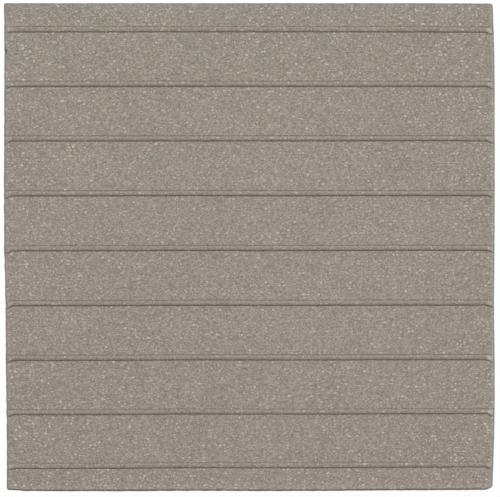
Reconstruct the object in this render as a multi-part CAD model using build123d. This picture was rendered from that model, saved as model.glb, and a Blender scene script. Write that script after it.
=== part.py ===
from build123d import *
from math import radians, sqrt, tan
import os

# Anti-slip floor tile: one piece of pressed and fired, unglazed stoneware.
# Raised ribs cross its walking face, and shallow pockets in its back key into the mortar bed.
#
# Lengths are in millimetres and angles in degrees. +Z is up, out of the walking face. The
# origin is the middle of the back, on the plane that the tile rests on. The ribs run along X,
# and -Y is the front of the tile, which the steep side of each rib faces.

# Slab
tile_width = 148.0
tile_length = 147.2
slab_thickness = 9.0
corner_radius = 1.2
top_edge_radius = 0.7
upright_side_height = 4.0
side_draft = 3.0
back_chamfer = 0.4

# Ribs on the walking face
rib_count = 9
rib_pitch = 16.43
rib_width = 1.7
rib_height = 0.9
rib_back_slope = 76.0
rib_front_slope = 66.0
rib_back_crown_radius = 0.45
rib_front_crown_radius = 0.8
rib_root_depth = 0.6

# Run-out at both ends of a rib: its crown slopes down and its front foot spreads as far as the
# tile's rounded edge, and what is left of the rib there rolls over that edge
run_out_length = 1.45
run_out_height = 0.3
run_out_spread = 0.75
run_out_tip_inset = 0.1
run_out_dip = 0.05

# Pockets in the back
pockets_each_way = 6
pocket_depth = 0.8
pocket_corner_radius = 2.0
pocket_wall_taper = 25.0
web_width = 3.0
rim_width = 8.0


def make_slab():
    """Slab with upright sides near the walking face, drafted sides and a chamfered back."""
    outline = RectangleRounded(tile_width, tile_length, corner_radius)
    draft_top = slab_thickness - upright_side_height
    upright = extrude(Pos(0, 0, draft_top) * outline, amount=upright_side_height)
    walking_face = upright.faces().sort_by(Axis.Z)[-1]
    upright = fillet(walking_face.outer_wire().edges(), top_edge_radius)
    draft_height = draft_top - back_chamfer
    drafted = extrude(Pos(0, 0, draft_top) * outline, amount=-draft_height, taper=side_draft)
    drafted_end = drafted.faces().sort_by(Axis.Z)[0]
    chamfered = extrude(drafted_end, amount=back_chamfer, taper=45)
    return upright + drafted + chamfered


def make_rib_section(x, crown, spread):
    """Section of a rib at x, with its crown that far above the walking face.

    The section reaches down to the root, inside the slab. Its rounding grows and shrinks
    with its height, so that every section of a rib has the same corners.
    """
    back_foot = rib_width / 2
    front_foot = -rib_width / 2 - spread
    back_run = 1 / tan(radians(rib_back_slope))
    front_run = 1 / tan(radians(rib_front_slope))
    fullness = (crown + rib_root_depth) / (rib_height + rib_root_depth)
    outline = FilletPolyline(
        (back_foot + rib_root_depth * back_run, -rib_root_depth),
        (back_foot - crown * back_run, crown),
        (front_foot + crown * front_run, crown),
        (front_foot - rib_root_depth * front_run, -rib_root_depth),
        radius=(0, rib_back_crown_radius * fullness, rib_front_crown_radius * fullness, 0),
        close=True,
    )
    return Plane.YZ.offset(x) * make_face(outline)


def make_rib():
    """One rib along X, with its run-outs, where y is 0 and the walking face is at 0."""
    tip = tile_width / 2 - run_out_tip_inset
    run_out_end = tile_width / 2 - top_edge_radius
    full_end = run_out_end - run_out_length
    tip_reach = top_edge_radius - run_out_tip_inset
    tip_drop = top_edge_radius - sqrt(top_edge_radius**2 - tip_reach**2)
    half = [
        (tip, -tip_drop - run_out_dip, run_out_spread),
        (run_out_end, run_out_height, run_out_spread),
        (full_end, rib_height, 0),
    ]
    left = [make_rib_section(-x, crown, spread) for x, crown, spread in half]
    right = [make_rib_section(x, crown, spread) for x, crown, spread in reversed(half)]
    return loft(left + right, ruled=True)


def make_pockets():
    """The pockets' volume: a square grid inside the rim, each pocket narrower at its top."""
    webs = (pockets_each_way - 1) * web_width
    pocket_width = (tile_width - 2 * rim_width - webs) / pockets_each_way
    pocket_length = (tile_length - 2 * rim_width - webs) / pockets_each_way
    mouth = RectangleRounded(pocket_width, pocket_length, pocket_corner_radius)
    pocket = extrude(mouth, amount=pocket_depth, taper=pocket_wall_taper)
    grid = GridLocations(
        pocket_width + web_width, pocket_length + web_width, pockets_each_way, pockets_each_way
    )
    return [place * pocket for place in grid]


def make_tile():
    rib = make_rib()
    ribs = [place * rib for place in GridLocations(0, rib_pitch, 1, rib_count)]
    tile = make_slab() + [Pos(0, 0, slab_thickness) * placed for placed in ribs]
    return tile - make_pockets()


tile = make_tile()
os.makedirs("parts", exist_ok=True)
export_step(tile, "parts/tile.step")
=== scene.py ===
import bpy
import math
import numpy as np
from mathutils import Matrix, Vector, noise


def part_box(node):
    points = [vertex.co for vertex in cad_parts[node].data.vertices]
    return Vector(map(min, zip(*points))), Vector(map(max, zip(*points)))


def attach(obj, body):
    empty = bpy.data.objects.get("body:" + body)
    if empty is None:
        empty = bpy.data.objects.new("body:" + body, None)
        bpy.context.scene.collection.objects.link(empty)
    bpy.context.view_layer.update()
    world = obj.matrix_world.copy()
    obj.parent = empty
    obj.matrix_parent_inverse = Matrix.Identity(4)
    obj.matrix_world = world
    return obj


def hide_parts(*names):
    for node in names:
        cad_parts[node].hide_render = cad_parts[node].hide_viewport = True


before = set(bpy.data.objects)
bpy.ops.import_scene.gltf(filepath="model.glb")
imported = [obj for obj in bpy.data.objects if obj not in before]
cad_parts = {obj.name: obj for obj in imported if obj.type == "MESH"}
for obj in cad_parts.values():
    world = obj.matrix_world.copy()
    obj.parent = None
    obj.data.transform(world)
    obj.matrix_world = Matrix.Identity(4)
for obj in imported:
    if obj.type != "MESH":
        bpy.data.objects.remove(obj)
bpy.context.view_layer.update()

# The anti-slip floor tile as it was fired: a closed mesh of the whole tile, a speckled
# stoneware material, a pale floor, studio light and a camera straight above.
# Lengths are in metres in the tile's own frame. The ribs run along X, and up in the
# photograph is +Y.

MM = 0.001
TILE_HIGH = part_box("tile")[1]
HALF_WIDTH = TILE_HIGH.x
HALF_LENGTH = TILE_HIGH.y

# Relief of the walking face
RIB_COUNT = 9
RIB_PITCH = 16.43 * MM
RIB_WIDTH = 1.7 * MM
RIB_HEIGHT = 0.9 * MM
RIB_FRONT_SLOPE = 66.0
RIB_BACK_SLOPE = 76.0
RIB_FRONT_RADIUS = 0.8 * MM
RIB_BACK_RADIUS = 0.45 * MM
RIB_PLACES = [(rib - (RIB_COUNT - 1) / 2) * RIB_PITCH for rib in range(RIB_COUNT)]
FACE_HEIGHT = TILE_HIGH.z - RIB_HEIGHT

# The rounded edge: how far it reaches, and the exponent of its section, where 2 is an arc
EDGE_RADIUS = 0.7 * MM
EDGE_EXPONENT = 1.5

# How far each rib lies behind its nominal place, and its height as a share of the full one,
# from the front rib to the back one
RIB_DRIFT = np.array([0.01, -0.26, -0.38, -0.35, -0.28, -0.19, -0.11, -0.11, -0.1]) * MM
RIB_SHARE = np.array([0.85, 1.0, 1.0, 1.0, 1.0, 1.0, 1.0, 1.0, 0.85])

# Run-outs at the rib ends, with distances from the left or right side, and the share of the
# rib's height that is left where they end. A crown starts to slope down further in at its back
# than at its front, and the front foot bends forwards between the last two distances.
RUN_OUT_BACK_START = 2.2 * MM
RUN_OUT_FRONT_START = 1.4 * MM
RUN_OUT_END = 0.65 * MM
RUN_OUT_SHARE = 0.35
FOOT_BEND_START = 2.7 * MM
FOOT_BEND_END = 0.5 * MM

# How far the front foot spreads at each rib's left and right end, and how much those ends are
# rubbed and carry a painted highlight, stronger on the right, from the front rib to the back one
LEFT_SPREAD = np.array([0.45, 0.5, 0.63, 0.83, 0.75, 0.75, 0.83, 0.43, 0.38]) * MM
RIGHT_SPREAD = np.array([0.58, 0.63, 0.75, 0.5, 0.5, 0.38, 0.83, 0.55, 0.63]) * MM
LEFT_RUB_AND_HIGHLIGHT = np.array([0.6, 0.25, 0.25, 0.3, 0.25, 0.25, 0.25, 0.2, 0.4])
RIGHT_RUB_AND_HIGHLIGHT = np.array([0.5, 0.95, 0.95, 0.55, 0.3, 0.3, 0.45, 0.55, 0.85])

# Where a rib's end is rubbed and carries its painted highlight: between these distances from the
# side, with a fade at each, and near the crown, from this share of the rib's height up, in full
# after another share
RUB_AND_HIGHLIGHT_NEAR = 0.3 * MM
RUB_AND_HIGHLIGHT_FAR = 2.5 * MM
RUB_AND_HIGHLIGHT_FADE = 0.5 * MM
RUB_AND_HIGHLIGHT_CROWN_START = 0.8
RUB_AND_HIGHLIGHT_CROWN_FADE = 0.15

# How much dirt and painted crease shade lie along each rib's front and back foot, from the front
# rib to the back one, the share of the rib's height that they reach, how much of them comes and
# goes, and how long those stretches are
FRONT_DIRT_AND_SHADE = np.array([0.72, 0.65, 0.74, 0.93, 0.9, 0.95, 0.9, 0.9, 0.95])
BACK_DIRT_AND_SHADE = np.array([0.33, 0.6, 0.68, 0.72, 0.82, 0.8, 0.97, 0.7, 0.8])
DIRT_AND_SHADE_TOP = 0.5
DIRT_AND_SHADE_CHANGE = 0.35
DIRT_AND_SHADE_CHANGE_SIZE = 2.4 * MM

# Sides and back
DRAFT_TOP = 5.0 * MM
DRAFT_INSET = 0.24 * MM
CHAMFER = 0.4 * MM
POCKETS_EACH_WAY = 6
POCKET_DEPTH = 0.8 * MM
POCKET_WALL_INSET = 0.37 * MM
POCKET_CORNER = 2.0 * MM
POCKET_CORNER_POINTS = 5
WEB_WIDTH = 3.0 * MM
RIM_WIDTH = 8.0 * MM
SIDE_DIRT = 0.32

# Signs of X and Y at the four corners, anticlockwise from the back right one
CORNERS = ((1, 1), (-1, 1), (-1, -1), (1, -1))

# Corners in plan, each worn differently: how far each rounding reaches along X and along Y
CORNER_REACH = {
    (-1, 1): (0.35 * MM, 0.35 * MM),
    (1, 1): (0.75 * MM, 0.75 * MM),
    (-1, -1): (0.9 * MM, 0.8 * MM),
    (1, -1): (2.7 * MM, 1.5 * MM),
}

# How far the fired sides lie inside the nominal outline at evenly spaced places: the left and
# right sides from front to back, the front and back sides from left to right
LEFT_INSET = np.array([0.83, 0.83, 0.56, 0.45, 0.05, 0.0, 0.06, 0.11, 0.0]) * MM
RIGHT_INSET = np.array([0.7, 0.13, 0.0, 0.2, 0.06, 0.0, 0.0, 0.08, 0.58]) * MM
FRONT_INSET = np.array([0.1, 0.0, 0.01, 0.12, 0.07, 0.07, 0.21, 0.33, 0.44]) * MM
BACK_INSET = np.array([0.0, 0.0, 0.0, 0.0, 0.0, 0.0, 0.0, 0.02, 0.1]) * MM

# How far each rib's left and right ends sank towards the front, from the front rib to the back
LEFT_DROOP = np.array([0.3, 0.2, 0.13, 0.17, 0.12, 0.02, 0.03, 0.08, 0.05]) * MM
RIGHT_DROOP = np.array([0.09, 0.24, 0.16, 0.14, 0.11, 0.11, 0.02, 0.12, 0.09]) * MM

# Unevenness of the fired surface: the most it takes off the left, right, front and back sides
# and off the face, the range over which the ribs wander, how long the waves of each are, and
# how far inwards those of the sides reach
SIDE_WEAR = [0.3 * MM, 0.1 * MM, 0.24 * MM, 0.12 * MM]
SIDE_WEAR_SIZE = 1.8 * MM
SIDE_WEAR_REACH = 1.6 * MM
FACE_RELIEF = 0.04 * MM
FACE_RELIEF_SIZE = 2.6 * MM
RIB_WOBBLE = 0.08 * MM
RIB_WOBBLE_SIZE = 1.6 * MM

# How deep under the face its unevenness begins, and the height over which it grows to the full
UNEVEN_DEPTH = 1.5 * MM
UNEVEN_RISE = 1.0 * MM

# Seeds of the noises after 1 to 4, which the sides have, and how far each seed shifts a noise
WOBBLE_SEED = 5
RELIEF_SEED = 6
DIRT_AND_SHADE_SEED = 7
SEED_STEP = (17.3, 5.9, 11.1)

# Bands along the top edges that are rubbed and carry a painted highlight, and that hold painted
# shade: how much on the left, right, front and back sides, and the band's distance from the side
# and half width
EDGE_RUB_AND_HIGHLIGHT = [0.06, 0.36, 0.2, 0.04]
EDGE_RUB_AND_HIGHLIGHT_PLACE = [0.65 * MM, 0.65 * MM, 1.0 * MM, 0.65 * MM]
EDGE_RUB_AND_HIGHLIGHT_WIDTH = [0.3 * MM, 0.32 * MM, 0.8 * MM, 0.3 * MM]
EDGE_SHADE = [0.3, 0.0, 0.94, 0.5]
EDGE_SHADE_PLACE = [0.0, 0.0, 0.22 * MM, 0.18 * MM]
EDGE_SHADE_WIDTH = [0.4 * MM, 0.4 * MM, 0.3 * MM, 0.33 * MM]

# Chips out of the edges: place, reach, depth and how much painted shade lies in them, and how near
# a chip is to a side that it goes inwards from
CHIPS = [
    (Vector((-73.7, 58.8, 8.7)) * MM, 0.95 * MM, 0.7 * MM, 0.8),
    (Vector((-72.4, -73.4, 8.0)) * MM, 5.0 * MM, 0.3 * MM, 0.0),
]
CHIP_NEAR = 1.0 * MM

# Spacing of the mesh: its columns and rows, its columns across the run-outs, the steps over the
# rounded edge, how far past it one more row or column lies, and the steps round a rib's front
# and back crown
COLUMN_STEP = 0.8 * MM
ROW_STEP = 0.68 * MM
RUN_OUT_STEP = 0.22 * MM
EDGE_STEPS = 7
EDGE_HOLD = 0.08 * MM
RIB_FRONT_STEPS = 6
RIB_BACK_STEPS = 4

# The angle from which an edge of the mesh is shaded sharp, and how near two places are one
SHARP_ANGLE = 42.0
SAME_PLACE = 0.01 * MM

# Rows of vertices beside a rib's foot: distance from it, share of its dirt and painted shade there,
# and painted highlight
FOOT_ROWS = [(0.07 * MM, 0.5, 0.0), (0.14 * MM, 0.0, 0.0), (0.45 * MM, 0.0, 0.07)]

# Heights of the rings of vertices on the sides
SIDE_LEVELS = [7.4 * MM, 6.4 * MM, DRAFT_TOP, 3.6 * MM, 2.0 * MM, CHAMFER, 0.0]


def arc_points(centre, radius, start, end, steps):
    """Points on an arc, angles in degrees."""
    angles = np.radians(np.linspace(start, end, steps + 1))
    return [(centre[0] + radius * math.cos(a), centre[1] + radius * math.sin(a)) for a in angles]


def rib_profile():
    """Cross-section of a rib from its front foot at y 0 to its back foot, as (y, z) points,
    and the y where its crown starts."""
    front = math.radians(RIB_FRONT_SLOPE)
    back = math.radians(RIB_BACK_SLOPE)
    crown_start = RIB_HEIGHT / math.tan(front) + RIB_FRONT_RADIUS * math.tan(front / 2)
    crown_end = RIB_WIDTH - RIB_HEIGHT / math.tan(back) - RIB_BACK_RADIUS * math.tan(back / 2)
    front_centre = (crown_start, RIB_HEIGHT - RIB_FRONT_RADIUS)
    back_centre = (crown_end, RIB_HEIGHT - RIB_BACK_RADIUS)
    front_arc = arc_points(
        front_centre, RIB_FRONT_RADIUS, 90 + RIB_FRONT_SLOPE, 90, RIB_FRONT_STEPS
    )
    back_arc = arc_points(back_centre, RIB_BACK_RADIUS, 90, 90 - RIB_BACK_SLOPE, RIB_BACK_STEPS)
    flank = front_arc[0]
    half_way = (flank[0] / 2, flank[1] / 2)
    return [(0.0, 0.0), half_way] + front_arc + back_arc + [(RIB_WIDTH, 0.0)], crown_start


def edge_steps():
    """Distances from a side across its rounded edge, closer together where it is steep, and
    one just past it that keeps the face beyond flat."""
    angles = np.radians(np.linspace(0, 90, EDGE_STEPS + 1))
    return list(EDGE_RADIUS * (1 - np.cos(angles))) + [EDGE_RADIUS + EDGE_HOLD]


def between(start, end, step):
    """Places strictly between start and end, about a step apart."""
    count = max(1, round((end - start) / step))
    return list(np.linspace(start, end, count + 1)[1:-1])


def column_places():
    """x of each column of vertices."""
    run_out_end = FOOT_BEND_START + 2 * RUN_OUT_STEP
    edge = edge_steps()
    near = edge + between(edge[-1], run_out_end, RUN_OUT_STEP) + [run_out_end]
    left = [-HALF_WIDTH + d for d in near]
    right = [HALF_WIDTH - d for d in reversed(near)]
    return np.array(left + between(left[-1], right[0], COLUMN_STEP) + right)


def row_stations():
    """One entry per row of vertices from front to back: its y, its share of the front foot's
    spread, the full rib's height there, its painted highlight, and its dirt and painted shade."""
    profile, crown_start = rib_profile()
    stations = [(-HALF_LENGTH + d, 0.0, 0.0, 0.0, 0.0) for d in edge_steps()]
    farthest = FOOT_ROWS[-1][0]
    for rib, place in enumerate(RIB_PLACES):
        middle = place + RIB_DRIFT[rib]
        front_foot, back_foot = middle - RIB_WIDTH / 2, middle + RIB_WIDTH / 2
        last = stations[-1][0]
        rows = [(y, 0.0, 0.0) for y in between(last, front_foot - farthest, ROW_STEP)]
        # In front of the foot: dirt and painted shade right beside it, a painted highlight further
        # out
        for distance, dirt_and_shade, rub_and_highlight in reversed(FOOT_ROWS):
            rows.append((front_foot - distance, rub_and_highlight, dirt_and_shade * FRONT_DIRT_AND_SHADE[rib]))
        for y, rub_and_highlight, dirt_and_shade in rows:
            stations.append((y, (y - last) / (front_foot - last), 0.0, rub_and_highlight, dirt_and_shade))
        # Dirt and painted crease shade at the rib's feet, thinning out up its flanks
        for y, z in profile:
            share = min(1.0, (RIB_WIDTH - y) / (RIB_WIDTH - crown_start))
            most = FRONT_DIRT_AND_SHADE[rib] if y < RIB_WIDTH / 2 else BACK_DIRT_AND_SHADE[rib]
            dirt_and_shade = most * max(0.0, 1 - z / (DIRT_AND_SHADE_TOP * RIB_HEIGHT))
            stations.append((front_foot + y, share, z, 0.0, dirt_and_shade))
        for distance, dirt_and_shade, rub_and_highlight in FOOT_ROWS:
            stations.append((back_foot + distance, 0.0, 0.0, rub_and_highlight, dirt_and_shade * BACK_DIRT_AND_SHADE[rib]))
    back = [HALF_LENGTH - d for d in reversed(edge_steps())]
    field = between(stations[-1][0], back[0], ROW_STEP)
    stations += [(y, 0.0, 0.0, 0.0, 0.0) for y in field + back]
    return stations


def smooth(t):
    """Smooth step from 0 to 1 as t goes from 0 to 1."""
    t = np.clip(t, 0.0, 1.0)
    return t * t * (3 - 2 * t)


def rib_fullness(side_distance, share):
    """Part of a rib's height that is left at a distance from the nearer side. The share is 1 at
    the front of the crown and 0 at the back foot."""
    end = RUN_OUT_SHARE * smooth(side_distance / RUN_OUT_END)
    start = RUN_OUT_BACK_START + (RUN_OUT_FRONT_START - RUN_OUT_BACK_START) * share
    rise = smooth((side_distance - RUN_OUT_END) / (start - RUN_OUT_END))
    return end + (1 - RUN_OUT_SHARE) * rise


def round_corners(x, y):
    """Moves a square grid's corners onto their arcs. Also gives each point's depth inside the
    outline."""
    depth = np.minimum(HALF_WIDTH - abs(x), HALF_LENGTH - abs(y))
    for (sx, sy), (reach_x, reach_y) in CORNER_REACH.items():
        p = (sx * x - (HALF_WIDTH - reach_x)) / reach_x
        q = (sy * y - (HALF_LENGTH - reach_y)) / reach_y
        inside = (p > 0) & (q > 0)
        p = np.where(inside, p, 0)
        q = np.where(inside, q, 0)
        u = p * np.sqrt(1 - q * q / 2)
        v = q * np.sqrt(1 - p * p / 2)
        x = np.where(inside, sx * (HALF_WIDTH - reach_x + reach_x * u), x)
        y = np.where(inside, sy * (HALF_LENGTH - reach_y + reach_y * v), y)
        reach = (reach_x * u * u + reach_y * v * v) / np.maximum(u * u + v * v, 1e-9)
        depth = np.where(inside, reach * (1 - np.hypot(u, v)), depth)
    return x, y, np.maximum(depth, 0)


def edge_drop(depth):
    """How far the rounded edge lies below the walking face at a depth inside the outline."""
    short = 1 - np.minimum(depth, EDGE_RADIUS) / EDGE_RADIUS
    return EDGE_RADIUS * (1 - (1 - short**EDGE_EXPONENT) ** (1 / EDGE_EXPONENT))


def side_distances(x, y):
    """Distances from the left, right, front and back sides."""
    return HALF_WIDTH + x, HALF_WIDTH - x, HALF_LENGTH + y, HALF_LENGTH - y


def edge_band(x, y, shares, places, widths):
    """Strength of a band along the four top edges at each place of the walking face."""
    sides = zip(side_distances(x, y), shares, places, widths)
    bands = [share * np.exp(-(((d - place) / width) ** 2)) for d, share, place, width in sides]
    return np.maximum.reduce(bands)


def walking_face():
    """Grid of the walking face and its rounded edge, one row per station: x, y, z, its rub and
    painted highlight, and its dirt and painted shade."""
    stations = row_stations()
    y, share, rib_z, foot_highlight, dirt_and_shade = (
        np.array(part, dtype=float)[:, None] for part in zip(*stations)
    )
    # Number of the rib that each row is nearest to
    nearest = np.clip(np.round(y / RIB_PITCH + (RIB_COUNT - 1) / 2), 0, RIB_COUNT - 1).astype(int)
    x = np.repeat(column_places()[None, :], len(stations), axis=0)
    side = HALF_WIDTH - abs(x)
    # Rib ends are rubbed and carry a painted highlight, stronger on the right-facing ends
    rub_and_highlight = np.where(x < 0, LEFT_RUB_AND_HIGHLIGHT[nearest], RIGHT_RUB_AND_HIGHLIGHT[nearest])
    rub_and_highlight = rub_and_highlight * smooth((RUB_AND_HIGHLIGHT_FAR - side) / RUB_AND_HIGHLIGHT_FADE) * smooth((side - RUB_AND_HIGHLIGHT_NEAR) / RUB_AND_HIGHLIGHT_FADE)
    rub_and_highlight = rub_and_highlight * smooth((rib_z / RIB_HEIGHT - RUB_AND_HIGHLIGHT_CROWN_START) / RUB_AND_HIGHLIGHT_CROWN_FADE)
    height = rib_z * rib_fullness(side, share) * RIB_SHARE[nearest]
    # At the ribs' ends the rows from one rib to the next one's crown bend towards the front
    spread = np.where(x < 0, LEFT_SPREAD[nearest], RIGHT_SPREAD[nearest])
    bend = smooth((FOOT_BEND_START - side) / (FOOT_BEND_START - FOOT_BEND_END))
    x, y, depth = round_corners(x, y - spread * bend * share)
    z = FACE_HEIGHT - edge_drop(depth) + height
    # Edges are rubbed and carry a painted highlight, strongest on the right
    edge_rub_and_highlight = edge_band(x, y, EDGE_RUB_AND_HIGHLIGHT, EDGE_RUB_AND_HIGHLIGHT_PLACE, EDGE_RUB_AND_HIGHLIGHT_WIDTH)
    # Painted highlights beside each rib's foot join the rest
    rub_and_highlight = np.maximum(np.maximum(rub_and_highlight, foot_highlight), edge_rub_and_highlight)
    places = np.stack([x.ravel(), y.ravel(), np.zeros(x.size)], axis=1)
    # The dirt and painted crease shade along the feet comes and goes
    change = soft_noise(places, DIRT_AND_SHADE_CHANGE_SIZE, DIRT_AND_SHADE_SEED).reshape(x.shape) - 0.5
    dirt_and_shade = dirt_and_shade * (1 + 2 * DIRT_AND_SHADE_CHANGE * change)
    # Painted shade along the top edges, strongest at the front, away from the lamp
    edge_shade = edge_band(x, y, EDGE_SHADE, EDGE_SHADE_PLACE, EDGE_SHADE_WIDTH)
    return x, y, z, rub_and_highlight, np.maximum(dirt_and_shade, edge_shade)


def perimeter(rows, columns):
    """Indices of a grid's border, anticlockwise from the front left corner."""
    front = list(range(columns))
    right = [r * columns + columns - 1 for r in range(1, rows)]
    back = [(rows - 1) * columns + c for c in range(columns - 2, -1, -1)]
    left = [r * columns for r in range(rows - 2, 0, -1)]
    return front + right + back + left


def side_inset(z):
    """How far the side at a height lies inside the outline."""
    if z >= DRAFT_TOP:
        return 0.0
    drafted = DRAFT_INSET * (DRAFT_TOP - z) / DRAFT_TOP
    return drafted + max(0.0, CHAMFER - z)


def rounded_loop(half_x, half_y, radius):
    """Loop round a rounded rectangle, anticlockwise, with points on its corners alone."""
    points = []
    for k, (sx, sy) in enumerate(CORNERS):
        centre = (sx * (half_x - radius), sy * (half_y - radius))
        points += arc_points(centre, radius, 90 * k, 90 * k + 90, POCKET_CORNER_POINTS - 1)
    return points


def square_loop(half_x, half_y, mouth):
    """Rectangle round a pocket's mouth, with a point beside each of the mouth's."""
    points = []
    diagonal = POCKET_CORNER_POINTS // 2
    for k, (x, y) in enumerate(mouth):
        corner, place = divmod(k, POCKET_CORNER_POINTS)
        sx, sy = CORNERS[corner]
        faces_x = (place < diagonal) if corner % 2 == 0 else (place > diagonal)
        if place == diagonal:
            points.append((sx * half_x, sy * half_y))
        elif faces_x:
            points.append((sx * half_x, y))
        else:
            points.append((x, sy * half_y))
    return points


def zip_loops(outer, inner):
    """Triangles between two loops of (index, angle) that run anticlockwise seen from above.
    They face down."""
    faces = []
    i = j = 0
    while i < len(outer) or j < len(inner):
        next_outer = outer[(i + 1) % len(outer)][1] + 2 * math.pi * ((i + 1) // len(outer))
        next_inner = inner[(j + 1) % len(inner)][1] + 2 * math.pi * ((j + 1) // len(inner))
        here, there = outer[i % len(outer)][0], inner[j % len(inner)][0]
        if j >= len(inner) or (i < len(outer) and next_outer <= next_inner):
            faces.append((here, there, outer[(i + 1) % len(outer)][0]))
            i += 1
        else:
            faces.append((here, there, inner[(j + 1) % len(inner)][0]))
            j += 1
    return faces


def by_angle(loop, points):
    """A loop's indices with their angles round the middle, starting at the lowest angle."""
    placed = [(i, math.atan2(points[i][1], points[i][0])) for i in loop]
    start = min(range(len(placed)), key=lambda k: placed[k][1])
    return placed[start:] + placed[:start]


class TileMesh:
    """Vertices and faces of the nominal tile, gathered part by part, with each vertex's rub and
    painted highlight, and its dirt and painted shade."""

    def __init__(self):
        self.points = []
        self.rub_and_highlight = []
        self.dirt_and_shade = []
        self.faces = []
        self.places = {}

    def add(self, x, y, z, rub_and_highlight=0.0, dirt_and_shade=0.0):
        """Adds a vertex and gives its index."""
        self.points.append((float(x), float(y), float(z)))
        self.rub_and_highlight.append(float(rub_and_highlight))
        self.dirt_and_shade.append(float(dirt_and_shade))
        return len(self.points) - 1

    def add_once(self, x, y, z):
        """Index of the back's vertex at a place, shared by the cells that meet there."""
        key = (round(x / MM, 3), round(y / MM, 3), round(z / MM, 3))
        if key not in self.places:
            self.places[key] = self.add(x, y, z)
        return self.places[key]

    def bridge(self, upper, lower):
        """Faces between two loops with as many points each."""
        for k, index in enumerate(upper):
            after = (k + 1) % len(upper)
            self.faces.append((index, lower[k], lower[after], upper[after]))

    def add_face_and_sides(self):
        """The walking face and the sides. Gives the loop round the back."""
        grids = walking_face()
        rows, columns = grids[0].shape
        for values in zip(*(grid.ravel() for grid in np.broadcast_arrays(*grids))):
            self.add(*values)
        for r in range(rows - 1):
            for c in range(columns - 1):
                k = r * columns + c
                self.faces.append((k, k + 1, k + columns + 1, k + columns))
        border = perimeter(rows, columns)
        loop = border
        for level in SIDE_LEVELS:
            shrink = side_inset(level)
            across = 1 - shrink / HALF_WIDTH
            along = 1 - shrink / HALF_LENGTH
            ring = []
            for index in border:
                px, py = self.points[index][:2]
                ring.append(self.add(px * across, py * along, level, dirt_and_shade=SIDE_DIRT))
            self.bridge(loop, ring)
            loop = ring
        return loop

    def add_pocket(self, cx, cy, half_cell, half_mouth):
        """One pocket and the web round it. Gives the web's outer loop."""
        mouth = rounded_loop(*half_mouth, POCKET_CORNER)
        web = square_loop(*half_cell, mouth)
        floor_half = [h - POCKET_WALL_INSET for h in half_mouth]
        floor = rounded_loop(*floor_half, POCKET_CORNER - POCKET_WALL_INSET)
        web_loop = [self.add_once(cx + x, cy + y, 0.0) for x, y in web]
        mouth_loop = [self.add(cx + x, cy + y, 0.0) for x, y in mouth]
        floor_loop = [self.add(cx + x, cy + y, POCKET_DEPTH) for x, y in floor]
        self.bridge(web_loop, mouth_loop)
        self.bridge(mouth_loop, floor_loop)
        self.faces.append(tuple(reversed(floor_loop)))
        return web_loop

    def add_back(self, rim_loop):
        """The back: its pockets with their webs, and the rim out to a loop."""
        n = POCKETS_EACH_WAY
        pitch = [(2 * (half - RIM_WIDTH) + WEB_WIDTH) / n for half in (HALF_WIDTH, HALF_LENGTH)]
        half_cell = [p / 2 for p in pitch]
        half_mouth = [(p - WEB_WIDTH) / 2 for p in pitch]
        edge = [p * n / 2 - SAME_PLACE for p in pitch]
        border = set()
        for i in range(n):
            for j in range(n):
                cx = (i - (n - 1) / 2) * pitch[0]
                cy = (j - (n - 1) / 2) * pitch[1]
                for index in self.add_pocket(cx, cy, half_cell, half_mouth):
                    px, py = self.points[index][:2]
                    if abs(px) > edge[0] or abs(py) > edge[1]:
                        border.add(index)
        inner = sorted(border, key=lambda k: math.atan2(self.points[k][1], self.points[k][0]))
        self.faces += zip_loops(by_angle(rim_loop, self.points), by_angle(inner, self.points))


def curve_through(values, t):
    """Smooth curve through values spread evenly over t from -1 to 1, never below 0."""
    place = (np.clip(t, -1, 1) + 1) / 2 * (len(values) - 1)
    first = np.minimum(place.astype(int), len(values) - 2)
    u = place - first
    ahead = [2 * values[0] - values[1]]
    beyond = [2 * values[-1] - values[-2]]
    a, b, c, d = (np.concatenate([ahead, values, beyond])[first + k] for k in range(4))
    curve = b + u * (c - a) / 2 + u**2 * (2 * a - 5 * b + 4 * c - d) / 2
    curve = curve + u**3 * (3 * (b - c) + d - a) / 2
    return np.maximum(curve, 0)


def along_ribs(values, y):
    """A value for each y, from one value for each rib and 0 at the front and back edges."""
    return np.interp(y, [-HALF_LENGTH, *RIB_PLACES, HALF_LENGTH], [0.0, *values, 0.0])


def soft_noise(points, size, seed):
    """Noise from 0 to 1 at each point, with waves of about that size."""
    offset = Vector([seed * step for step in SEED_STEP])
    return np.array([0.5 + 0.5 * noise.noise(Vector(p) / size + offset) for p in points])


def fire(points):
    """Bends the nominal tile as the kiln did, and roughens its sides and its face."""
    x, y, z = points.T
    tx, ty = x / HALF_WIDTH, y / HALF_LENGTH
    left = curve_through(LEFT_INSET, ty) * (1 - tx) / 2
    right = curve_through(RIGHT_INSET, ty) * (1 + tx) / 2
    front = curve_through(FRONT_INSET, tx) * (1 - ty) / 2
    back = curve_through(BACK_INSET, tx) * (1 + ty) / 2
    droop = np.where(x < 0, along_ribs(LEFT_DROOP, y), along_ribs(RIGHT_DROOP, y)) * tx**2
    seeds = range(1, len(SIDE_WEAR) + 1)
    wear = [most * soft_noise(points, SIDE_WEAR_SIZE, seed) for seed, most in zip(seeds, SIDE_WEAR)]
    near = [np.exp(-((d / SIDE_WEAR_REACH) ** 2)) for d in side_distances(x, y)]
    above = smooth((z - FACE_HEIGHT + UNEVEN_DEPTH) / UNEVEN_RISE)
    wobble = RIB_WOBBLE * (soft_noise(points, RIB_WOBBLE_SIZE, WOBBLE_SEED) - 0.5) * above
    relief = FACE_RELIEF * soft_noise(points, FACE_RELIEF_SIZE, RELIEF_SEED) * above
    fired = points.copy()
    fired[:, 0] += left - right + wear[0] * near[0] - wear[1] * near[1]
    fired[:, 1] += front - back - droop + wear[2] * near[2] - wear[3] * near[3]
    fired[:, 1] += wobble * (1 - near[2]) * (1 - near[3])
    fired[:, 2] -= relief
    return fired


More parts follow.
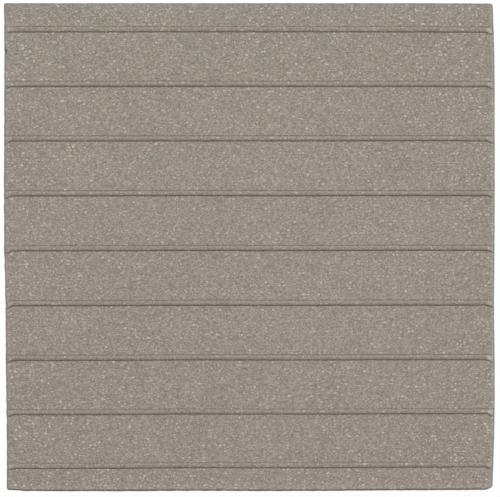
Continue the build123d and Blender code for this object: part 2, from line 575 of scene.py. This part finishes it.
def chip(points, dirt_and_shade):
    """Takes the chips out of the edges. Each goes down and inwards. Also gives the dirt and
    shade, with painted shade in each chip.
    """
    for centre, reach, depth, chip_shade in CHIPS:
        away = np.linalg.norm(points - np.array(centre), axis=1)
        bite = np.maximum(0, 1 - (away / reach) ** 2)
        inward = [0.0, 0.0, -1.0]
        for axis, half in enumerate((HALF_WIDTH, HALF_LENGTH)):
            if half - abs(centre[axis]) < CHIP_NEAR:
                inward[axis] = -np.sign(centre[axis])
        points = points + depth * bite[:, None] * np.array(inward) / np.linalg.norm(inward)
        # Painted shade in the chip's hollow
        dirt_and_shade = np.maximum(dirt_and_shade, chip_shade * bite)
    return points, dirt_and_shade


def make_tile():
    """The fired tile's object, with its rub and painted highlight, and its dirt and painted
    shade, as attributes.
    """
    shape = TileMesh()
    shape.add_back(shape.add_face_and_sides())
    fired, dirt_and_shade = chip(fire(np.array(shape.points)), np.array(shape.dirt_and_shade))
    mesh = bpy.data.meshes.new("tile_body")
    mesh.from_pydata(fired.tolist(), [], shape.faces)
    mesh.validate()
    for name, values in (("rub_and_highlight", shape.rub_and_highlight), ("dirt_and_shade", dirt_and_shade)):
        mesh.attributes.new(name, "FLOAT", "POINT").data.foreach_set("value", values)
    mesh.shade_smooth()
    mesh.set_sharp_from_angle(angle=math.radians(SHARP_ANGLE))
    tile = bpy.data.objects.new("tile_body", mesh)
    bpy.context.scene.collection.objects.link(tile)
    return tile


class Nodes:
    """Short calls that add and join the nodes of a material or of the world."""

    def __init__(self, owner):
        owner.use_nodes = True
        self.tree = owner.node_tree
        self.tree.nodes.clear()

    def add(self, kind, settings=None, **inputs):
        """A node with those settings and inputs. An underscore stands for a space."""
        node = self.tree.nodes.new(kind)
        for key, value in (settings or {}).items():
            setattr(node, key, value)
        for key, value in inputs.items():
            self.feed(node.inputs[key.replace("_", " ")], value)
        return node

    def feed(self, socket, value):
        """Joins a socket to another one, or sets its value."""
        if isinstance(value, bpy.types.NodeSocket):
            self.tree.links.new(value, socket)
        else:
            socket.default_value = value

    def math(self, operation, first, second=0.0):
        """Result of a Math node."""
        node = self.tree.nodes.new("ShaderNodeMath")
        node.operation = operation
        self.feed(node.inputs[0], first)
        self.feed(node.inputs[1], second)
        return node.outputs[0]

    def clamp(self, value):
        """A value held between 0 and 1."""
        return self.add("ShaderNodeClamp", Value=value).outputs[0]

    def mix(self, share, first, second, blend="MIX"):
        """Two colours mixed, with that share of the second. A Mix node's sockets for colours
        come after those for numbers and vectors."""
        node = self.add("ShaderNodeMix", {"data_type": "RGBA", "blend_type": blend})
        self.feed(node.inputs[0], share)
        self.feed(node.inputs[6], first)
        self.feed(node.inputs[7], second)
        return node.outputs[2]

    def ramp(self, value, stops):
        """Value to colour, through (place, colour) stops."""
        node = self.add("ShaderNodeValToRGB", Fac=value)
        elements = node.color_ramp.elements
        while len(elements) < len(stops):
            elements.new(0.5)
        for element, (place, colour) in zip(elements, stops):
            element.position = place
            element.color = colour
        return node.outputs["Color"]


def srgb(red, green, blue):
    """Colour from its screen values, 0 to 255."""
    linear = []
    for value in (red, green, blue):
        c = value / 255
        linear.append(c / 12.92 if c <= 0.04045 else ((c + 0.055) / 1.055) ** 2.4)
    return (*linear, 1.0)


def grey(value):
    """Grey of that linear value."""
    return (value, value, value, 1.0)


# Stoneware colours as screen values. A full rub and painted highlight goes that far towards its
# tone, and full dirt and painted shade leaves that share of the colour.
FINE_TONES = [(132, 123, 114), (159, 150, 141), (186, 177, 168)]
GRAIN_TONE = (216, 207, 198)
GROOVE_TONE = (128, 119, 110)
PORE_TONE = (84, 77, 70)
RUB_AND_HIGHLIGHT_TONE = (214, 205, 196)
WARM_TINT = (253.5, 252.4, 251)
COOL_TINT = (248.8, 255, 250)
RUB_AND_HIGHLIGHT_STRENGTH = 0.6
DIRT_AND_SHADE_SHARE = 0.5

# Fine grain: units of its noise's space per metre, fewer along the ribs, and the values of the
# noise at its three tones
FINE_SPACE = (600, 920, 950)
FINE_SCALE = 3.0
FINE_PLACES = (0.3, 0.5, 0.7)

# Pale grains: units of their cells' space per metre, how finely and how far it is bent, and for
# the small and the large ones the cells' scale, the least random value at which a grain shows
# and how fast its radius grows above it
GRAIN_SPACE = (730, 900, 930)
GRAIN_BEND_SCALE = 2.2
GRAIN_BEND = (0.8, 0.5, 0.5)
SMALL_GRAINS = (1.8, 0.2, 0.6)
LARGE_GRAINS = (1.2, 0.15, 0.56)

# How steep the edges of a grain and of the groove round it are, how far out the groove lies and
# how dark it is, the radius from which a grain has one, and how pale a grain is at least and by
# how much more at most
GRAIN_RISE = 6.0
GROOVE_RISE = 8.0
GROOVE_PLACE = 0.1
GROOVE_STRENGTH = 0.55
GROOVE_LEAST_RADIUS = 0.05
PALENESS_LEAST = 0.41
PALENESS_MORE = 0.35

# Changes over the whole tile: how strongly grains show in the middle and how much more at the
# sides, how much darker the fine grain is there as painted shade round a painted pool of light
# in the middle, the scale of the clouds and how much they brighten it, and what is taken off for
# them everywhere
STRENGTH_MIDDLE = 0.75
STRENGTH_MORE = 0.22
LIGHT_POOL_FALLOFF = 0.01
CLOUD_SCALE = 34.0
CLOUD_STRENGTH = 0.065
CLOUD_OFFSET = 0.018

# Open pores: their cells' scale, the least random value at which one shows, how fast its radius
# grows above it, and how steep its edge is
PORE_SCALE = 0.09
PORE_LEAST = 0.86
PORE_GROWTH = 0.28
PORE_RISE = 90.0

# Cooler flecks, where a noise is low: its scale, its value at their edges in the tile's middle,
# how much higher that is at the back and at the left side, and how steep their edges are
FLECK_SCALE = 430.0
FLECK_LIMIT = 0.39
FLECK_MORE_BACK = 0.12
FLECK_MORE_LEFT = 0.02
FLECK_RISE = 16.0

# Surface: the bump's strength and height, and the roughness of the body and of the large grains
BUMP_STRENGTH = 0.8
BUMP_HEIGHT = 0.04 * MM
BODY_ROUGHNESS = 0.88
GRAIN_ROUGHNESS = 0.7


def add_grains(n, body, space, kind, strength):
    """Pale grains over a body colour, each in a thin dark groove. Gives colour and mask."""
    scale, least, growth = kind
    cells = n.add("ShaderNodeTexVoronoi", Vector=space, Scale=scale)
    pick = n.add("ShaderNodeSeparateColor", Color=cells.outputs["Color"])
    radius = n.math("MULTIPLY", n.math("SUBTRACT", pick.outputs["Green"], least), growth)
    inside = n.math("SUBTRACT", radius, cells.outputs["Distance"])
    mask = n.clamp(n.math("MULTIPLY", inside, GRAIN_RISE))
    shown = n.math("GREATER_THAN", radius, GROOVE_LEAST_RADIUS)
    off_groove = n.math("ABSOLUTE", n.math("ADD", inside, GROOVE_PLACE))
    groove = n.clamp(n.math("SUBTRACT", 1.0, n.math("MULTIPLY", off_groove, GROOVE_RISE)))
    groove = n.math("MULTIPLY", groove, shown)
    body = n.mix(n.math("MULTIPLY", groove, GROOVE_STRENGTH), body, srgb(*GROOVE_TONE))
    paleness = n.math("MULTIPLY", pick.outputs["Red"], PALENESS_MORE)
    paleness = n.math("ADD", paleness, PALENESS_LEAST)
    mask = n.math("MULTIPLY", mask, n.math("MULTIPLY", paleness, strength))
    return n.mix(mask, body, srgb(*GRAIN_TONE)), mask


def add_pores(n, body, space):
    """A few open pores in a body colour. Gives colour and mask."""
    cells = n.add("ShaderNodeTexVoronoi", Vector=space, Scale=PORE_SCALE)
    pick = n.add("ShaderNodeSeparateColor", Color=cells.outputs["Color"]).outputs["Green"]
    radius = n.math("MULTIPLY", n.math("SUBTRACT", pick, PORE_LEAST), PORE_GROWTH)
    inside = n.math("SUBTRACT", radius, cells.outputs["Distance"])
    mask = n.clamp(n.math("MULTIPLY", inside, PORE_RISE))
    return n.mix(mask, body, srgb(*PORE_TONE)), mask


def add_tint(n, body, place):
    """Tints a body colour, with cooler flecks, more of them towards the back and the left."""
    flecks = n.add("ShaderNodeTexNoise", Vector=place, Scale=FLECK_SCALE, Detail=1.0)
    at = n.add("ShaderNodeSeparateXYZ", Vector=place)
    along = n.math("MULTIPLY", at.outputs["Y"], FLECK_MORE_BACK / HALF_LENGTH)
    across = n.math("MULTIPLY", at.outputs["X"], FLECK_MORE_LEFT / HALF_WIDTH)
    limit = n.math("ADD", n.math("SUBTRACT", along, across), FLECK_LIMIT)
    under = n.math("SUBTRACT", limit, flecks.outputs["Fac"])
    cool = n.clamp(n.math("MULTIPLY", under, FLECK_RISE))
    tint = n.mix(cool, srgb(*WARM_TINT), srgb(*COOL_TINT))
    return n.mix(1.0, body, tint, "MULTIPLY")


def make_stoneware():
    """Unglazed stoneware: a warm grey body full of pale grains, with a few open pores."""
    stoneware = bpy.data.materials.new("unglazed_stoneware")
    n = Nodes(stoneware)
    place = n.add("ShaderNodeTexCoord").outputs["Object"]
    fine_space = n.add("ShaderNodeMapping", Vector=place, Scale=FINE_SPACE).outputs[0]
    straight = n.add("ShaderNodeMapping", Vector=place, Scale=GRAIN_SPACE).outputs[0]
    bend = n.add("ShaderNodeTexNoise", Vector=straight, Scale=GRAIN_BEND_SCALE, Detail=2.0)
    bent = n.add("ShaderNodeVectorMath", {"operation": "MULTIPLY_ADD"})
    n.feed(bent.inputs[0], bend.outputs["Color"])
    n.feed(bent.inputs[1], GRAIN_BEND)
    n.feed(bent.inputs[2], straight)
    grain_space = bent.outputs[0]

    # Towards the middle the grains show a little less and the body is a little paler, a painted
    # pool of light, and broad clouds drift through it
    length = n.add("ShaderNodeVectorMath", {"operation": "LENGTH"}, Vector=place)
    outward = n.math("MULTIPLY", length.outputs["Value"], 1 / HALF_LENGTH)
    outward = n.math("POWER", outward, 2.0)
    strength = n.math("ADD", STRENGTH_MIDDLE, n.math("MULTIPLY", outward, STRENGTH_MORE))
    clouds = n.add("ShaderNodeTexNoise", Vector=place, Scale=CLOUD_SCALE, Detail=2.0)
    drift = n.math("MULTIPLY", clouds.outputs["Fac"], CLOUD_STRENGTH)
    # Painted light: the body is paler in the middle and darker towards the sides
    drift = n.math("SUBTRACT", drift, n.math("MULTIPLY", outward, LIGHT_POOL_FALLOFF))
    fine = n.add(
        "ShaderNodeTexNoise", Vector=fine_space, Scale=FINE_SCALE, Detail=2.0, Roughness=0.6
    ).outputs["Fac"]
    tone = n.math("ADD", fine, n.math("SUBTRACT", drift, CLOUD_OFFSET))
    body = n.ramp(tone, [(stop, srgb(*colour)) for stop, colour in zip(FINE_PLACES, FINE_TONES)])
    body, small = add_grains(n, body, grain_space, SMALL_GRAINS, strength)
    body, large = add_grains(n, body, grain_space, LARGE_GRAINS, strength)
    body, pore = add_pores(n, body, fine_space)
    body = add_tint(n, body, place)

    # Rub with painted highlights lightens; dirt with painted shade in creases, chips and along
    # edges darkens
    rub_and_highlight = n.add("ShaderNodeAttribute", {"attribute_name": "rub_and_highlight"}).outputs["Fac"]
    dirt_and_shade = n.add("ShaderNodeAttribute", {"attribute_name": "dirt_and_shade"}).outputs["Fac"]
    body = n.mix(n.math("MULTIPLY", rub_and_highlight, RUB_AND_HIGHLIGHT_STRENGTH), body, srgb(*RUB_AND_HIGHLIGHT_TONE))
    body = n.mix(dirt_and_shade, body, grey(DIRT_AND_SHADE_SHARE), "MULTIPLY")

    height = n.math("SUBTRACT", n.math("ADD", n.math("ADD", small, large), fine), pore)
    bump = n.add("ShaderNodeBump", Height=height, Strength=BUMP_STRENGTH, Distance=BUMP_HEIGHT)
    rough = n.add("ShaderNodeMapRange", Value=large, To_Min=BODY_ROUGHNESS, To_Max=GRAIN_ROUGHNESS)
    shader = n.add(
        "ShaderNodeBsdfPrincipled",
        Base_Color=body,
        Roughness=rough.outputs[0],
        Normal=bump.outputs[0],
        Specular_IOR_Level=0.3,
    )
    n.add("ShaderNodeOutputMaterial", Surface=shader.outputs[0])
    return stoneware


# The floor: its half size, how far its opening under the tile lies inside the back's edge, how
# far it lies under the back, and its tone. To the camera that share of it glows, that strongly.
FLOOR_HALF = 2.0
OPENING_INSET = 0.3 * MM
FLOOR_GAP = 0.02 * MM
FLOOR_TONE = 0.8
GLOW_SHARE = 0.95
GLOW_STRENGTH = 1.02


def make_floor():
    """Pale floor round the tile, open under it so that the back shows from below. The camera
    sees it as white, with a faint shadow."""
    inset = side_inset(0.0) + LEFT_INSET.max() + OPENING_INSET
    near_x, near_y = HALF_WIDTH - inset, HALF_LENGTH - inset
    outer = [(sx * FLOOR_HALF, sy * FLOOR_HALF, -FLOOR_GAP) for sx, sy in CORNERS]
    inner = [(sx * near_x, sy * near_y, -FLOOR_GAP) for sx, sy in CORNERS]
    faces = [(k, (k + 1) % 4, 4 + (k + 1) % 4, 4 + k) for k in range(4)]
    mesh = bpy.data.meshes.new("floor")
    mesh.from_pydata(outer + inner, [], faces)
    floor = bpy.data.objects.new("floor", mesh)
    bpy.context.scene.collection.objects.link(floor)
    material = bpy.data.materials.new("pale_floor")
    n = Nodes(material)
    seen = n.add("ShaderNodeLightPath").outputs["Is Camera Ray"]
    paper = n.add("ShaderNodeBsdfDiffuse", Color=grey(FLOOR_TONE))
    glow = n.add("ShaderNodeEmission", Color=grey(1.0), Strength=GLOW_STRENGTH)
    mixed = n.add("ShaderNodeMixShader")
    n.feed(mixed.inputs[0], n.math("MULTIPLY", seen, GLOW_SHARE))
    n.feed(mixed.inputs[1], paper.outputs[0])
    n.feed(mixed.inputs[2], glow.outputs[0])
    n.add("ShaderNodeOutputMaterial", Surface=mixed.outputs[0])
    mesh.materials.append(material)


# Light: a round key lamp towards the tile's back and a little to the right, and an even pale
# sky. The lamp lights a white level face to about that share of plain white, and the rest of
# the share is the sky's strength.
KEY_DISTANCE = 2.2
KEY_BACK_TILT = 22.0
KEY_RIGHT_TILT = 1.0
KEY_SIZE = 0.76
KEY_SHARE = 0.55
SKY_TONE = 0.8


def add_light():
    """The sky, at full strength to the camera, and the key lamp."""
    world = bpy.data.worlds.new("studio")
    n = Nodes(world)
    seen = n.add("ShaderNodeLightPath").outputs["Is Camera Ray"]
    strength = n.add("ShaderNodeMapRange", Value=seen, To_Min=1 - KEY_SHARE, To_Max=1.0)
    sky = n.add("ShaderNodeBackground", Color=grey(SKY_TONE), Strength=strength.outputs[0])
    n.add("ShaderNodeOutputWorld", Surface=sky.outputs[0])
    bpy.context.scene.world = world

    right = math.tan(math.radians(KEY_RIGHT_TILT))
    back = math.tan(math.radians(KEY_BACK_TILT))
    towards = Vector((right, back, 1))
    towards.normalize()
    lamp = bpy.data.lights.new("key", "AREA")
    lamp.shape = "DISK"
    lamp.size = KEY_SIZE
    # At this power the lamp alone lights a white level face to a radiance of about KEY_SHARE
    lamp.energy = KEY_SHARE * math.pi**2 * KEY_DISTANCE**2 / towards.z
    key = bpy.data.objects.new("key", lamp)
    key.location = towards * KEY_DISTANCE
    key.rotation_euler = towards.to_track_quat("Z", "Y").to_euler()
    bpy.context.scene.collection.objects.link(key)


# The photograph's frame, in its own pixels: its size, and the box round the tile's outline.
# Then how far above the walking face the camera is.
FRAME_PIXELS = (500, 497)
TILE_PIXELS = ((3.45, 2.85), (495.0, 491.75))
CAMERA_DISTANCE = 1.6


def add_camera():
    """Camera straight above, with the tile where it lies in the photograph's frame."""
    (left, top), (right, bottom) = TILE_PIXELS
    pixel = 2 * HALF_WIDTH / (right - left)
    centre_x = (FRAME_PIXELS[0] / 2 - (left + right) / 2) * pixel
    centre_y = ((top + bottom) / 2 - FRAME_PIXELS[1] / 2) * pixel
    camera = bpy.data.cameras.new("camera")
    camera.sensor_width = 36.0
    camera.lens = camera.sensor_width * CAMERA_DISTANCE / (FRAME_PIXELS[0] * pixel)
    camera.clip_start = 0.1
    camera.clip_end = 20.0
    viewer = bpy.data.objects.new("camera", camera)
    viewer.location = (centre_x, centre_y, FACE_HEIGHT + CAMERA_DISTANCE)
    bpy.context.scene.collection.objects.link(viewer)
    bpy.context.scene.camera = viewer


tile = make_tile()
tile.data.materials.append(make_stoneware())
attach(tile, "root")
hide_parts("tile")
make_floor()
add_light()
add_camera()
bpy.context.scene.view_settings.view_transform = "Standard"
